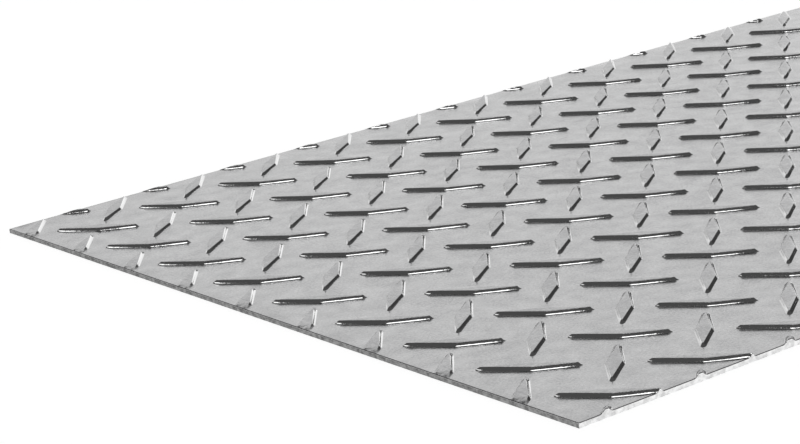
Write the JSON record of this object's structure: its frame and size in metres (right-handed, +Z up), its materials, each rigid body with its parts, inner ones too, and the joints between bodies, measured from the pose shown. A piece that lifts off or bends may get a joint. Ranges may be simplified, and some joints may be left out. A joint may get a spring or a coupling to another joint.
{
  "type": "checker plate sheet",
  "caption": "Flat rectangular steel sheet with raised diamond tread lugs on its top face, in two directions at right angles, and plain sheared edges.",
  "frame": {"origin": "centre of the sheet's flat underside", "axes": "+X along the sheet's length, +Y across its width, +Z up through its thickness to the lugs"},
  "size_m": [0.6096, 0.3048, 0.0026],
  "materials": {
    "steel": "bright rolled steel, satin"
  },
  "bodies": {
    "root": {"checker_plate": "steel"}
  },
  "joints": []
}
